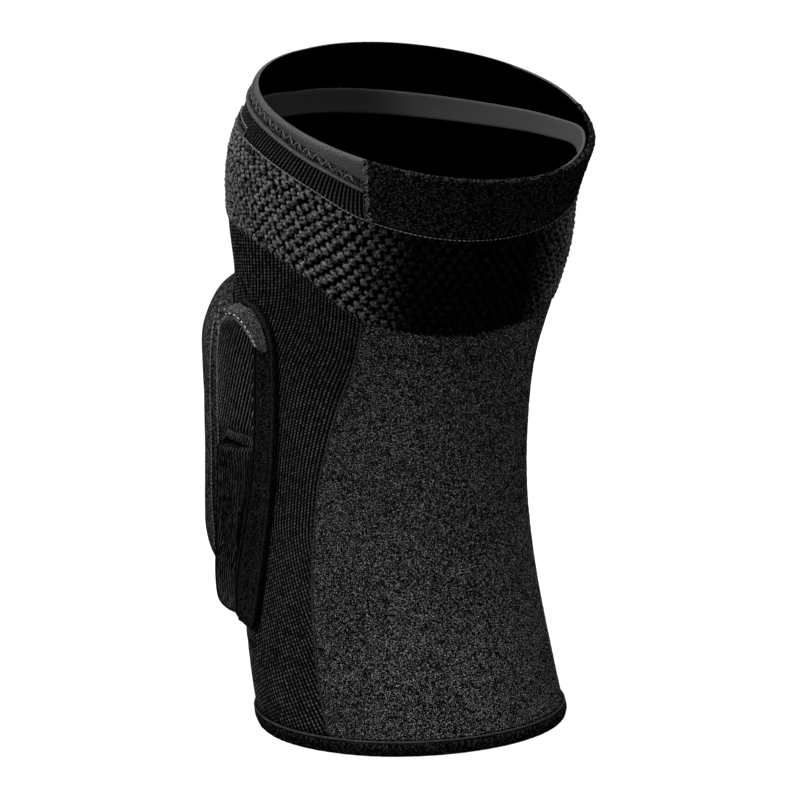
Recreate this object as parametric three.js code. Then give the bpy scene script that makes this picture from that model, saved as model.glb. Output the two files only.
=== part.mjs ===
// A padded knee sleeve in the form that it has on a slightly bent leg: a hollow tube sewn from knitted
// panels with a binding at each end, a crowned pad over the knee and a slimmer pad on either side.
// Millimetres, +Z up the leg, the front of the knee toward -Y, the origin at the middle of the knee.

import * as THREE from 'three';
import { mergeVertices } from 'three/addons/utils/BufferGeometryUtils.js';

// Cloth: the thickness of each wall, how far it stands proud of the plain knit, the gap at a seam, and
// the gaps under a pad and behind the grip strip
const SEAM_GAP = 0.4;
const PAD_GAP = 0.7;
const GRIP_GAP = 0.65;
const KNIT_WALL = 2.2;
const BUBBLE_PROUD = 0.6;
const BAND_PROUD = 0.9;
const FLEECE_PROUD = 0.8;
const HEM_PROUD = 0.8;
const HEM_TURN_IN = 0.4;
const GRIP_WALL = 1.2;
const TAB_WALL = 0.7;

// Heights of the strips, and angles round the leg from the front: where the binding ends at its lower
// edge and at the rim, how much of the way up to the rim the rib strip reaches, and the ends of the tab
const HEM_HEIGHT = 6.8;
const BAND_END_LOW = 122.5;
const BAND_END_RIM = 114;
const STRIP_SHARE = 0.45;
const GRIP_HEIGHT = 9.5;
const TAB_HEIGHT = 3.5;
const TAB_FROM = 38;
const TAB_TO = 60;

// Sections of the leg inside the sleeve, measured on the outer face of the plain knit: how far the middle
// lies behind the knee's axis, half the depth, half the width, and how far the front of it is lifted
const SECTIONS = [
  { height: -126, centre: 14, depth: 66, width: 62.5, lift: -5 },
  { height: -100, centre: 7, depth: 66, width: 61.5, lift: -3.5 },
  { height: -65, centre: 0.5, depth: 64.5, width: 59, lift: -1.5 },
  { height: -30, centre: -3, depth: 63.5, width: 57, lift: 0 },
  { height: 0, centre: -3.5, depth: 63.5, width: 57.5, lift: 0 },
  { height: 30, centre: -2, depth: 65.5, width: 59, lift: 0 },
  { height: 60, centre: 3, depth: 69, width: 62.5, lift: 3 },
  { height: 85, centre: 6, depth: 73, width: 67, lift: 5.5 },
  { height: 110, centre: 9, depth: 73.5, width: 68.5, lift: 8 },
  { height: 136.5, centre: 21.5, depth: 71, width: 67, lift: 13 },
];

// Edges that run round the sleeve: the lower end of the hem, the lower edge of the bubble knit, the seam
// above it, the lower edge of the rim's binding, the rim itself, and the lower edge of the grip strip
const EDGES = [
  { angle: 0, hem: -126, bubble: 84, seam: 120, band: 128.5, rim: 135, grip: 110 },
  { angle: 45, hem: -125.5, bubble: 85, seam: 120, band: 128.5, rim: 135.5, grip: 116 },
  { angle: 75, hem: -125.5, bubble: 86, seam: 120.5, band: 128.5, rim: 136, grip: 118 },
  { angle: 100, hem: -125.5, bubble: 79, seam: 117, band: 125.5, rim: 136, grip: 119 },
  { angle: 120, hem: -125.8, bubble: 64, seam: 110, band: 121, rim: 136, grip: 120 },
  { angle: 150, hem: -126.3, bubble: 58, seam: 104.5, band: 118, rim: 136, grip: 122 },
  { angle: 180, hem: -127.3, bubble: 59, seam: 105, band: 118, rim: 136.5, grip: 124 },
  { angle: 205, hem: -128.3, bubble: 62, seam: 109, band: 119, rim: 137.5, grip: 126 },
  { angle: 230, hem: -129, bubble: 66, seam: 114.5, band: 122, rim: 139, grip: 126.5 },
  { angle: 255, hem: -128.5, bubble: 76, seam: 117.5, band: 126, rim: 140, grip: 119 },
  { angle: 285, hem: -127.5, bubble: 85, seam: 120, band: 128.5, rim: 139, grip: 112 },
  { angle: 315, hem: -126.5, bubble: 85, seam: 120, band: 128.5, rim: 137, grip: 109.3 },
  { angle: 360, hem: -126, bubble: 84, seam: 120, band: 128.5, rim: 135, grip: 110 },
];

// The curved seam between the ribbed front and the back panel
const SIDE_SEAM = [
  { height: -119, angle: 102.5 },
  { height: -95, angle: 101.5 },
  { height: -60, angle: 102 },
  { height: -25, angle: 105.5 },
  { height: 0, angle: 110.5 },
  { height: 20, angle: 115 },
  { height: 40, angle: 119.5 },
  { height: 64, angle: 121 },
];

// The knee pad: its half width as an angle from the front, and its thickness over the knit
const FRONT_PAD = [
  { height: -74, half: 30, thick: 4.5 },
  { height: -68, half: 39, thick: 9.2 },
  { height: -55, half: 48, thick: 13.8 },
  { height: -35, half: 54.5, thick: 15.9 },
  { height: -10, half: 58, thick: 15.8 },
  { height: 15, half: 58.5, thick: 15.6 },
  { height: 36, half: 57, thick: 13.8 },
  { height: 45, half: 52, thick: 11 },
  { height: 51.5, half: 43, thick: 7.5 },
  { height: 55.5, half: 31, thick: 4 },
];
const FRONT_PAD_EDGE = 0.2;

// A side pad: the angles of its front and rear edges and of the ribbed cells' rear edge, and how far its
// cells stand out from the knit along their front
const SIDE_PAD = [
  { height: -81, front: 50.5, rear: 69, cell: 58, crown: 9 },
  { height: -77, front: 47.5, rear: 71.5, cell: 58.3, crown: 10.5 },
  { height: -68, front: 48.5, rear: 74.5, cell: 60, crown: 11.5 },
  { height: -50, front: 54, rear: 79.5, cell: 67, crown: 12 },
  { height: -25, front: 58.5, rear: 84.5, cell: 75, crown: 12 },
  { height: 0, front: 60.5, rear: 87.5, cell: 79.5, crown: 12 },
  { height: 20, front: 61.5, rear: 88.5, cell: 80.5, crown: 11.8 },
  { height: 42, front: 62.5, rear: 87.5, cell: 80.5, crown: 11.5 },
  { height: 50, front: 64.5, rear: 85, cell: 80, crown: 11 },
  { height: 55.5, front: 67, rear: 81, cell: 79, crown: 10.5 },
  { height: 58, front: 70, rear: 77, cell: 76, crown: 10 },
];
const PAD_BASE = 4.5;
const CELL_FALL = 4;
const CELL_ROUNDING = 2.6;
const CELL_INSET = 1.2;
const CELL_GROOVE = -0.5;
const GROOVE_HALF = 3.2;
const CELL_BOTTOM = -79;

// The cap of a side pad: the seam under it runs level from the front and bends down behind the upper cell.
// The shares are of that cell's width: where the bend starts, where it ends, and how far the cap reaches
const CAP_FRONT = 52;
const CAP_REAR = 40.5;
const CAP_TOP = 56.8;
const CAP_CROWN = 12;
const CAP_FALL = 4.5;
const CAP_GAP = 0.8;
const BEND_START = 0.45;
const BEND_END = 1.1;
const BEND_POWER = 2.6;
const CAP_REACH = 1.4;

// Fineness of the meshes: steps round a whole ring, and steps round and up each panel
const RING_STEPS = 60;
const FRONT_STEPS = { round: 36, up: 14 };
const BACK_STEPS = { round: 20, up: 14 };
const STRIP_STEPS = { round: 40, up: 1 };
const FLEECE_STEPS = { round: 20, up: 3 };
const PAD_STEPS = { round: 18, up: 16 };
const BASE_STEPS = { round: 8, up: 18 };
const CELL_STEPS = { round: 7, up: 9 };
const CAP_STEPS = { round: 12, up: 4 };
const TAB_STEPS = { round: 4, up: 1 };

const { clamp, degToRad, lerp, radToDeg } = THREE.MathUtils;

// The value of one column of a table between its rows, on a smooth curve through them
function along(table, row, column, at) {
  const last = table.length - 1;
  const place = clamp(at, table[0][row], table[last][row]);
  let low = 0;
  while (low < last - 1 && place > table[low + 1][row]) {
    low += 1;
  }
  const slope = (k) => {
    const before = table[Math.max(k - 1, 0)];
    const after = table[Math.min(k + 1, last)];
    return (after[column] - before[column]) / (after[row] - before[row]);
  };
  const step = table[low + 1][row] - table[low][row];
  const t = (place - table[low][row]) / step;
  const rise = t * t * (3 - 2 * t);
  const lead = t * (1 - t) * (1 - t) * step;
  const trail = t * t * (t - 1) * step;
  return lerp(table[low][column], table[low + 1][column], rise) + lead * slope(low) + trail * slope(low + 1);
}

// A point at an angle round the leg and a height up it, some way out from the plain knit's outer face
function skin(angle, height, out) {
  const section = (column) => along(SECTIONS, 'height', column, height);
  const turn = degToRad(angle);
  const lift = degToRad(section('lift'));
  const across = (section('width') + out) * Math.sin(turn);
  const back = -(section('depth') + out) * Math.cos(turn);
  return new THREE.Vector3(across, section('centre') + back * Math.cos(lift), height - back * Math.sin(lift));
}

// The height of one of the edges round the sleeve
function edge(column, angle) {
  return along(EDGES, 'angle', column, (angle + 360) % 360);
}

// Half of a seam's gap, and the same as an angle round the leg
const HALF_GAP = SEAM_GAP / 2;
const GAP_ANGLE = radToDeg(HALF_GAP / along(SECTIONS, 'height', 'width', 0));

// Moves every vertex of a shape to its place, and welds the corners that meet
function shaped(geometry, place) {
  const position = geometry.attributes.position;
  const vertex = new THREE.Vector3();
  for (let i = 0; i < position.count; i += 1) {
    vertex.fromBufferAttribute(position, i);
    vertex.copy(place(vertex));
    position.setXYZ(i, vertex.x, vertex.y, vertex.z);
  }
  geometry.deleteAttribute('normal');
  geometry.deleteAttribute('uv');
  const welded = mergeVertices(geometry);
  welded.computeVertexNormals();
  return welded;
}

// A slab bent to the leg. place takes shares from 0 to 1: round the leg, up it, and out through the wall
function panel(steps, place) {
  const box = new THREE.BoxGeometry(1, 1, 1, steps.round, steps.up, 1);
  return shaped(box, (vertex) => place(vertex.x + 0.5, vertex.y + 0.5, vertex.z + 0.5));
}

// A closed ring round the leg. place takes the angle, the share up the ring and the share out through it
function ring(rows, place) {
  const outside = Array.from({ length: rows + 1 }, (_, k) => new THREE.Vector2(2, k / rows));
  const inside = outside.map((point) => new THREE.Vector2(1, point.y)).reverse();
  const profile = [...outside, ...inside, outside[0].clone()];
  const lathe = new THREE.LatheGeometry(profile, RING_STEPS);
  return shaped(lathe, (vertex) => {
    const angle = (radToDeg(Math.atan2(vertex.x, vertex.z)) + 360) % 360;
    return place(angle, vertex.y, Math.hypot(vertex.x, vertex.z) - 1);
  });
}

const sleeve = new THREE.Group();

function add(name, geometry, material) {
  const mesh = new THREE.Mesh(geometry, material);
  mesh.name = name;
  sleeve.add(mesh);
}

const cloth = (color, roughness) => new THREE.MeshStandardMaterial({ color, roughness, metalness: 0 });
const ribKnit = cloth(0x1d1d1e, 0.85);
const bubbleKnit = cloth(0x2b2b2c, 0.8);
const pileKnit = cloth(0x1f1f20, 0.95);
const bandElastic = cloth(0x343435, 0.75);
const padCover = cloth(0x232324, 0.8);
const silicone = new THREE.MeshStandardMaterial({ color: 0x2a2a2a, roughness: 0.5, metalness: 0 });

// The ribbed front and the back panel share a side seam, whose angle changes on the way up
const SIDE_TOP = edge('bubble', SIDE_SEAM[SIDE_SEAM.length - 1].angle);
const sideSeam = (up) => along(SIDE_SEAM, 'height', 'angle', lerp(SIDE_SEAM[0].height, SIDE_TOP, up));
const hemTop = (angle) => edge('hem', angle) + HEM_HEIGHT;
const tubeHeight = (angle, up) => lerp(hemTop(angle) + HALF_GAP, edge('bubble', angle) - HALF_GAP, up);

add('knit_front', panel(FRONT_STEPS, (round, up, out) => {
  const half = sideSeam(up) - GAP_ANGLE;
  const angle = lerp(-half, half, round);
  return skin(angle, tubeHeight(angle, up), lerp(-KNIT_WALL, 0, out));
}), ribKnit);

add('back_panel', panel(BACK_STEPS, (round, up, out) => {
  const from = sideSeam(up) + GAP_ANGLE;
  const angle = lerp(from, 360 - from, round);
  return skin(angle, tubeHeight(angle, up), lerp(-KNIT_WALL, 0, out));
}), pileKnit);

// The bubble knit goes all the way round, between its saw-toothed lower edge and the seam above it
add('thigh_knit', ring(3, (angle, up, out) => {
  const height = lerp(edge('bubble', angle) + HALF_GAP, edge('seam', angle) - HALF_GAP, up);
  return skin(angle, height, lerp(-KNIT_WALL, BUBBLE_PROUD, out));
}), bubbleKnit);

// The rim: a coarse rib strip and a folded binding round the front and sides, a fleecy panel behind
const bandEnd = (up) => lerp(BAND_END_LOW, BAND_END_RIM, up);

add('rib_strip', panel(STRIP_STEPS, (round, up, out) => {
  const half = bandEnd(STRIP_SHARE * up) - GAP_ANGLE;
  const angle = lerp(-half, half, round);
  const height = lerp(edge('seam', angle) + HALF_GAP, edge('band', angle) - HALF_GAP, up);
  return skin(angle, height, lerp(-KNIT_WALL, 0, out));
}), ribKnit);

add('top_band', panel(STRIP_STEPS, (round, up, out) => {
  const half = bandEnd(lerp(STRIP_SHARE, 1, up)) - GAP_ANGLE;
  const angle = lerp(-half, half, round);
  const height = lerp(edge('band', angle) + HALF_GAP, edge('rim', angle), up);
  return skin(angle, height, lerp(-KNIT_WALL, BAND_PROUD, out));
}), bandElastic);

add('top_back_panel', panel(FLEECE_STEPS, (round, up, out) => {
  const from = bandEnd(up) + GAP_ANGLE;
  const angle = lerp(from, 360 - from, round);
  const height = lerp(edge('seam', angle) + HALF_GAP, edge('rim', angle), up);
  return skin(angle, height, lerp(-KNIT_WALL, FLEECE_PROUD, out));
}), pileKnit);

// The silicone strip inside lies against the walls and keeps the sleeve from sliding down
add('grip_strip', ring(1, (angle, up, out) => {
  const face = -KNIT_WALL - GRIP_GAP;
  return skin(angle, edge('grip', angle) + up * GRIP_HEIGHT, lerp(face - GRIP_WALL, face, out));
}), silicone);

// The lower binding is folded round the end of the knit
add('bottom_hem', ring(2, (angle, up, out) => {
  const height = lerp(edge('hem', angle), hemTop(angle) - HALF_GAP, up);
  return skin(angle, height, lerp(-KNIT_WALL - HEM_TURN_IN, HEM_PROUD, out));
}), pileKnit);

// A bare tab is caught in the seam above the bubble knit, at the side of the knee pad
add('seam_tab', panel(TAB_STEPS, (round, up, out) => {
  const angle = lerp(TAB_FROM, TAB_TO, round);
  const height = edge('seam', angle) + HALF_GAP + up * TAB_HEIGHT;
  return skin(angle, height, HALF_GAP + out * TAB_WALL);
}), bandElastic);

// The knee pad is crowned, with its sides and ends rounded off
add('front_pad', panel(PAD_STEPS, (round, up, out) => {
  const bottom = FRONT_PAD[0].height;
  const top = FRONT_PAD[FRONT_PAD.length - 1].height;
  const height = lerp(bottom, top, (1 - Math.cos(Math.PI * up)) / 2);
  const half = along(FRONT_PAD, 'height', 'half', height);
  const thick = along(FRONT_PAD, 'height', 'thick', height);
  const side = Math.abs(2 * round - 1);
  const crown = thick * (1 - FRONT_PAD_EDGE * side ** 6);
  return skin(lerp(-half, half, round), height, lerp(PAD_GAP, crown, out));
}), padCover);

// A side pad is a flat bound base with a smooth cap and two ribbed cells on it. side is 1 or -1
function sidePad(side, word) {
  const column = (name, height) => along(SIDE_PAD, 'height', name, height);
  const bottom = SIDE_PAD[0].height;
  const top = SIDE_PAD[SIDE_PAD.length - 1].height;
  const mirrored = (round) => (side > 0 ? round : 1 - round);

  add(`side_pad_base_${word}`, panel(BASE_STEPS, (round, up, out) => {
    const height = lerp(bottom, top, (1 - Math.cos(Math.PI * up)) / 2);
    const angle = lerp(column('front', height), column('rear', height), mirrored(round));
    return skin(side * angle, height, lerp(PAD_GAP, PAD_BASE, out));
  }), padCover);

  // A padded piece on the base, between two slanted lines, highest along its front
  const cushion = (steps, low, high, rearColumn, crown) => panel(steps, (round, up, out) => {
    const across = mirrored(round);
    const height = lerp(low(across), high(across), up);
    const front = column('front', height) + CELL_INSET;
    const angle = lerp(front, column(rearColumn, height) - CELL_INSET, across);
    const rim = Math.max(Math.abs(2 * across - 1), Math.abs(2 * up - 1));
    const face = PAD_BASE + SEAM_GAP;
    const crest = Math.max(crown(height, across) - CELL_ROUNDING * rim ** 4, face + CELL_ROUNDING / 2);
    return skin(side * angle, height, lerp(face, crest, out));
  });

  const capSeam = (share) => {
    const bend = clamp((share - BEND_START) / (BEND_END - BEND_START), 0, 1);
    return lerp(CAP_FRONT, CAP_REAR, bend ** BEND_POWER);
  };
  const capLow = (across) => capSeam(CAP_REACH * across) + CAP_GAP / 2;
  const capTop = () => CAP_TOP;
  const capCrown = (height, across) => CAP_CROWN - CAP_FALL * across;
  const cellCrown = (height, across) => column('crown', height) - CELL_FALL * across + CELL_ROUNDING / 2;

  add(`side_pad_cap_${word}`, cushion(
    CAP_STEPS, capLow, capTop, 'rear', capCrown,
  ), padCover);

  add(`side_pad_upper_${word}`, cushion(
    CELL_STEPS, () => CELL_GROOVE + GROOVE_HALF, (share) => capSeam(share) - CAP_GAP / 2, 'cell', cellCrown,
  ), ribKnit);

  add(`side_pad_lower_${word}`, cushion(
    CELL_STEPS, () => CELL_BOTTOM, () => CELL_GROOVE - GROOVE_HALF, 'cell', cellCrown,
  ), ribKnit);
}

sidePad(1, 'left');
sidePad(-1, 'right');

export default sleeve;
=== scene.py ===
import math

import bmesh
import bpy
import numpy as np
from mathutils import Matrix, Vector
from mathutils.bvhtree import BVHTree


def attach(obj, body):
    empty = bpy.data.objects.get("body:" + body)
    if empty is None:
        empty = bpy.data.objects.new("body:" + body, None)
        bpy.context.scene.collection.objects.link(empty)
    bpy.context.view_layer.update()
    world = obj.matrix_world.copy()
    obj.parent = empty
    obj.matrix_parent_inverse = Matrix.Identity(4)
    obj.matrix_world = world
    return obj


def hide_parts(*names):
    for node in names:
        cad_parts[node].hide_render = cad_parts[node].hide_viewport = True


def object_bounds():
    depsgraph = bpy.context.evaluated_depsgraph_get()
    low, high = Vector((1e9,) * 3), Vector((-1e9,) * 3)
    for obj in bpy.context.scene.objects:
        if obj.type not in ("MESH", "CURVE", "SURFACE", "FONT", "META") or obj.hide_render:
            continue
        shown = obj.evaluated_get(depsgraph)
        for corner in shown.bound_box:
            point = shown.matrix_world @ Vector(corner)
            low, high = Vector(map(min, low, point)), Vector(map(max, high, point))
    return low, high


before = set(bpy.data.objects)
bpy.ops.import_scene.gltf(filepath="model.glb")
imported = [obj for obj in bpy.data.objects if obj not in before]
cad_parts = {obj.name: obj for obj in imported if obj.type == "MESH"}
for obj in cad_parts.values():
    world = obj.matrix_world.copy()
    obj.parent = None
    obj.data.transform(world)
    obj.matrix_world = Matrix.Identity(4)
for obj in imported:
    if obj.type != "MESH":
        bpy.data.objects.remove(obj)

cad_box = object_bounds()

# The studio. The camera stands behind the left side of the knee and a little above it, with a long lens.
# The sleeve is over a plain pale floor, under one large soft light from overhead and a second from the
# side of the pads, with a weaker one on the other side.
VIEW_ROUND = math.radians(135)
VIEW_UP = math.radians(16.2)
VIEW_DISTANCE = 2.0
AMBIENT = 0.07
FLOOR_GLOW = 0.97
FLOOR_COLOUR = (0.14, 0.14, 0.14, 1)
to_camera = Vector((
    math.sin(VIEW_ROUND) * math.cos(VIEW_UP), -math.cos(VIEW_ROUND) * math.cos(VIEW_UP), math.sin(VIEW_UP)))
picture_right = Vector((math.cos(VIEW_ROUND), math.sin(VIEW_ROUND), 0))
picture_up = to_camera.cross(picture_right)
aim = picture_right * 0.005 + picture_up * 0.00833
lens = bpy.data.cameras.new("camera")
lens.lens = 216
lens.sensor_width = 36
camera = bpy.data.objects.new("camera", lens)
stand = Matrix((picture_right, picture_up, to_camera)).transposed().to_4x4()
camera.matrix_world = Matrix.Translation(aim + to_camera * VIEW_DISTANCE) @ stand
bpy.context.collection.objects.link(camera)
bpy.context.scene.camera = camera
bpy.context.scene.view_settings.view_transform = "Standard"

studio = bpy.data.worlds.new("studio")
studio.use_nodes = True
room = studio.node_tree
backdrop = room.nodes["Background"]
backdrop.inputs["Color"].default_value = (1, 1, 1, 1)
dim_room = room.nodes.new("ShaderNodeBackground")
dim_room.inputs["Color"].default_value = (1, 1, 1, 1)
dim_room.inputs["Strength"].default_value = AMBIENT
seen = room.nodes.new("ShaderNodeLightPath")
either = room.nodes.new("ShaderNodeMixShader")
room.links.new(seen.outputs["Is Camera Ray"], either.inputs[0])
room.links.new(dim_room.outputs[0], either.inputs[1])
room.links.new(backdrop.outputs[0], either.inputs[2])
room.links.new(either.outputs[0], room.nodes["World Output"].inputs["Surface"])
bpy.context.scene.world = studio


def soft_light(name, place, size, power):
    lamp = bpy.data.lights.new(name, "AREA")
    lamp.size = size
    lamp.energy = power
    light = bpy.data.objects.new(name, lamp)
    place = Vector(place)
    light.matrix_world = Matrix.Translation(place) @ place.to_track_quat("Z", "Y").to_matrix().to_4x4()
    bpy.context.collection.objects.link(light)


soft_light("light_overhead", Vector((0.2, 0.12, 1.7)), 1.0, 44)
soft_light("light_pad_side", to_camera * 1.0 - picture_right * 1.25 + Vector((0, 0, 0.75)), 0.5, 24)
soft_light("light_far_side", to_camera * 0.9 + picture_right * 1.2 + Vector((0, 0, 0.9)), 1.0, 11)

ground = bmesh.new()
bmesh.ops.create_grid(ground, x_segments=1, y_segments=1, size=4)
bmesh.ops.translate(ground, verts=ground.verts, vec=(0, 0, cad_box[0].z - 0.001))
floor_mesh = bpy.data.meshes.new("floor")
ground.to_mesh(floor_mesh)
ground.free()
floor_paint = bpy.data.materials.new("pale_floor")
floor_paint.use_nodes = True
paint = floor_paint.node_tree
surface = paint.nodes["Principled BSDF"]
surface.inputs["Base Color"].default_value = FLOOR_COLOUR
surface.inputs["Roughness"].default_value = 0.95
surface.inputs["Specular IOR Level"].default_value = 0
surface.inputs["Emission Color"].default_value = (1, 1, 1, 1)
seen = paint.nodes.new("ShaderNodeLightPath")
glow = paint.nodes.new("ShaderNodeMath")
glow.operation = "MULTIPLY"
glow.inputs[1].default_value = FLOOR_GLOW
paint.links.new(seen.outputs["Is Camera Ray"], glow.inputs[0])
paint.links.new(glow.outputs[0], surface.inputs["Emission Strength"])
floor_mesh.materials.append(floor_paint)
studio_floor = bpy.data.objects.new("floor", floor_mesh)
bpy.context.collection.objects.link(studio_floor)

# The ribbed knit wraps the front and both sides of the knee, in one piece from the lower binding to the
# bubble knit. It is a stretchy black rib with fine standing ribs, drawn tight over the leg; below the
# side pads its ribs lean back and run out at the side seams.
# Sections of the leg that the sleeve is stretched over: height, centre, half depth, half width, lift
LEG = np.array([
    (-126, 14, 66, 62.5, -5),
    (-100, 7, 66, 61.5, -3.5),
    (-65, 0.5, 64.5, 59, -1.5),
    (-30, -3, 63.5, 57, 0),
    (0, -3.5, 63.5, 57.5, 0),
    (30, -2, 65.5, 59, 0),
    (60, 3, 69, 62.5, 3),
    (85, 6, 73, 67, 5.5),
    (110, 9, 73.5, 68.5, 8),
    (136.5, 21.5, 71, 67, 13),
], dtype=float)
# Edges round the sleeve: angle from the front, then the heights of hem, bubble, seam, band, rim and grip
EDGES = np.array([
    (0, -126, 84, 120, 128.5, 135, 110),
    (45, -125.5, 85, 120, 128.5, 135.5, 116),
    (75, -125.5, 86, 120.5, 128.5, 136, 118),
    (100, -125.5, 79, 117, 125.5, 136, 119),
    (120, -125.8, 64, 110, 121, 136, 120),
    (150, -126.3, 58, 104.5, 118, 136, 122),
    (180, -127.3, 59, 105, 118, 136.5, 124),
    (205, -128.3, 62, 109, 119, 137.5, 126),
    (230, -129, 66, 114.5, 122, 139, 126.5),
    (255, -128.5, 76, 117.5, 126, 140, 119),
    (285, -127.5, 85, 120, 128.5, 139, 112),
    (315, -126.5, 85, 120, 128.5, 137, 109.3),
    (360, -126, 84, 120, 128.5, 135, 110),
], dtype=float)
HEM, BUBBLE, SEAM, BAND, RIM, GRIP = range(1, 7)
# The side seam between the ribbed front and the back panel: height, angle
SIDE_SEAM = np.array([
    (-119, 102.5), (-95, 101.5), (-60, 102), (-25, 105.5), (0, 110.5), (20, 115), (40, 119.5), (64, 121)],
    dtype=float)
HEM_HEIGHT = 6.8
KNIT_WALL = 0.0018
RIBS = 148
RIB_RELIEF = 0.32
RIB_STITCH = 1.42
RIB_LEAN = 38
RIB_SPREAD = 4
LEAN_SHARE = 0.42
SEAM_MIDDLE = 108
SEAM_DIP = 0.7
SEAM_DIP_WIDTH = 1.2
KNEE_DEGREE = 1.05
KNIT_SINK = 0.25
SWAY, SWAY_ROUND, SWAY_UP = 0.3, 47, 83
# Folds below the side pads and at the knee pad's corners: angle, height, spread round, spread up, depth,
# pitch, slope round, slope up, start
FOLDS = (
    (70, -92, 15, 8, 0.7, 7.5, 0.3, 1, -92),
    (66, 62, 7, 6, 0.6, 3.4, 0.64, 0.77, 8.84))


def along(table, column, at):
    """One column of a table between its rows, on a smooth curve through them."""
    rows, values = table[:, 0], table[:, column]
    index = np.arange(len(rows))
    before = np.maximum(index - 1, 0)
    after = np.minimum(index + 1, len(rows) - 1)
    slope = (values[after] - values[before]) / (rows[after] - rows[before])
    at = np.clip(at, rows[0], rows[-1])
    low = np.clip(np.searchsorted(rows, at, side="right") - 1, 0, len(rows) - 2)
    step = rows[low + 1] - rows[low]
    t = (at - rows[low]) / step
    rise = t * t * (3 - 2 * t)
    bend = t * (1 - t) ** 2 * step * slope[low] + t * t * (t - 1) * step * slope[low + 1]
    return values[low] * (1 - rise) + values[low + 1] * rise + bend


def edge(column, angle):
    return along(EDGES, column, np.mod(angle, 360))


def on_leg(angle, height, out):
    """Points in metres, from the angle round the leg, the height in mm and the stand-out in mm."""
    turn = np.radians(angle)
    lift = np.radians(along(LEG, 4, height))
    across = (along(LEG, 3, height) + out) * np.sin(turn)
    back = -(along(LEG, 2, height) + out) * np.cos(turn)
    point = (across, along(LEG, 1, height) + back * np.cos(lift), height - back * np.sin(lift))
    return np.stack(np.broadcast_arrays(*point), axis=-1) * 0.001


def smooth_step(x):
    x = np.clip(x, 0, 1)
    return x * x * (3 - 2 * x)


def bell(x):
    return np.exp(-x * x)


def lay_cloth(columns, rows, place, threads):
    """A net of cloth laid where place(round, up) says, with its thread counts from threads(round, up)."""
    cloth = bmesh.new()
    bmesh.ops.create_grid(cloth, x_segments=columns, y_segments=rows, size=0.5)
    flat = np.array([vert.co[:2] for vert in cloth.verts]) + 0.5
    points = place(flat[:, 0], flat[:, 1])
    counts = threads(flat[:, 0], flat[:, 1])
    layer = cloth.loops.layers.uv.new("threads")
    for vert, point, count in zip(cloth.verts, points.tolist(), np.stack(counts, axis=-1).tolist()):
        vert.co = point
        for loop in vert.link_loops:
            loop[layer].uv = count
    return cloth


def make_piece(name, shape, materials, replaced=(), wall=0):
    """One finished piece on the sleeve, with its inner face a wall's thickness behind the outer one."""
    mesh = bpy.data.meshes.new(name)
    shape.to_mesh(mesh)
    shape.free()
    for material in materials:
        mesh.materials.append(material)
    mesh.shade_smooth()
    piece = bpy.data.objects.new(name, mesh)
    bpy.context.collection.objects.link(piece)
    if wall:
        backing = piece.modifiers.new("wall", "SOLIDIFY")
        backing.thickness = wall
        backing.offset = -1
        backing.material_offset = len(materials) - 1
    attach(piece, "root")
    if replaced:
        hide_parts(*replaced)
    return piece


def pattern_group(name, inputs, outputs):
    group = bpy.data.node_groups.new(name, "ShaderNodeTree")
    for label, kind, value in inputs:
        socket = group.interface.new_socket(label, in_out="INPUT", socket_type=kind)
        if value is not None:
            socket.default_value = value
    for label in outputs:
        group.interface.new_socket(label, in_out="OUTPUT", socket_type="NodeSocketFloat")
    return group, group.nodes.new("NodeGroupInput"), group.nodes.new("NodeGroupOutput")


def sum_of(tree, operation, *terms):
    """One step of arithmetic in a pattern, on sockets or plain numbers."""
    node = tree.nodes.new("ShaderNodeMath")
    node.operation = operation
    for socket, term in zip(node.inputs, terms):
        if isinstance(term, bpy.types.NodeSocket):
            tree.links.new(term, socket)
        else:
            socket.default_value = term
    return node.outputs[0]


def noise_of(tree, place, scale, detail=2, roughness=0.5):
    """A soft noise over a place, between 0 and 1."""
    noise = tree.nodes.new("ShaderNodeTexNoise")
    noise.inputs["Scale"].default_value = scale
    noise.inputs["Detail"].default_value = detail
    noise.inputs["Roughness"].default_value = roughness
    tree.links.new(place, noise.inputs["Vector"])
    return noise.outputs["Fac"]


# Rib stitches: standing ribs that count along x, each a row of small stitches that count along y
rib_stitches, given, result = pattern_group(
    "rib_stitches",
    [("Threads", "NodeSocketVector", None), ("Slack", "NodeSocketFloat", 0.3),
     ("Dash", "NodeSocketFloat", 0.4), ("Uneven", "NodeSocketFloat", 0.6),
     ("Sharp", "NodeSocketFloat", 1.9)],
    ["Crown"])
threads_in = given.outputs["Threads"]


def rib_sum(operation, *terms):
    return sum_of(rib_stitches, operation, *terms)


split = rib_stitches.nodes.new("ShaderNodeSeparateXYZ")
rib_stitches.links.new(threads_in, split.inputs[0])
slack_noise = noise_of(rib_stitches, threads_in, 0.7, 3)
wander = rib_sum("MULTIPLY", rib_sum("SUBTRACT", slack_noise, 0.5), given.outputs["Slack"])
rib = rib_sum("ADD", split.outputs[0], wander)
ridge = rib_sum("MULTIPLY_ADD", rib_sum("COSINE", rib_sum("MULTIPLY", rib, 2 * math.pi)), 0.5, 0.5)
ridge = rib_sum("POWER", ridge, given.outputs["Sharp"])
fold = rib_sum("ABSOLUTE", rib_sum("SUBTRACT", rib_sum("FRACT", rib), 0.5))
column = rib_sum("ROUND", rib)
brick = rib_sum("MULTIPLY_ADD", wander, 1.5, rib_sum("MULTIPLY", column, 0.46))
row = rib_sum("ADD", rib_sum("MULTIPLY_ADD", fold, 0.7, split.outputs[1]), brick)
wave = rib_sum("COSINE", rib_sum("MULTIPLY", row, 2 * math.pi))
plain = rib_sum("SUBTRACT", 1, given.outputs["Dash"])
dash = rib_sum("ADD", rib_sum("MULTIPLY", wave, given.outputs["Dash"]), plain)
one_stitch = rib_stitches.nodes.new("ShaderNodeCombineXYZ")
rib_stitches.links.new(column, one_stitch.inputs[0])
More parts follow.
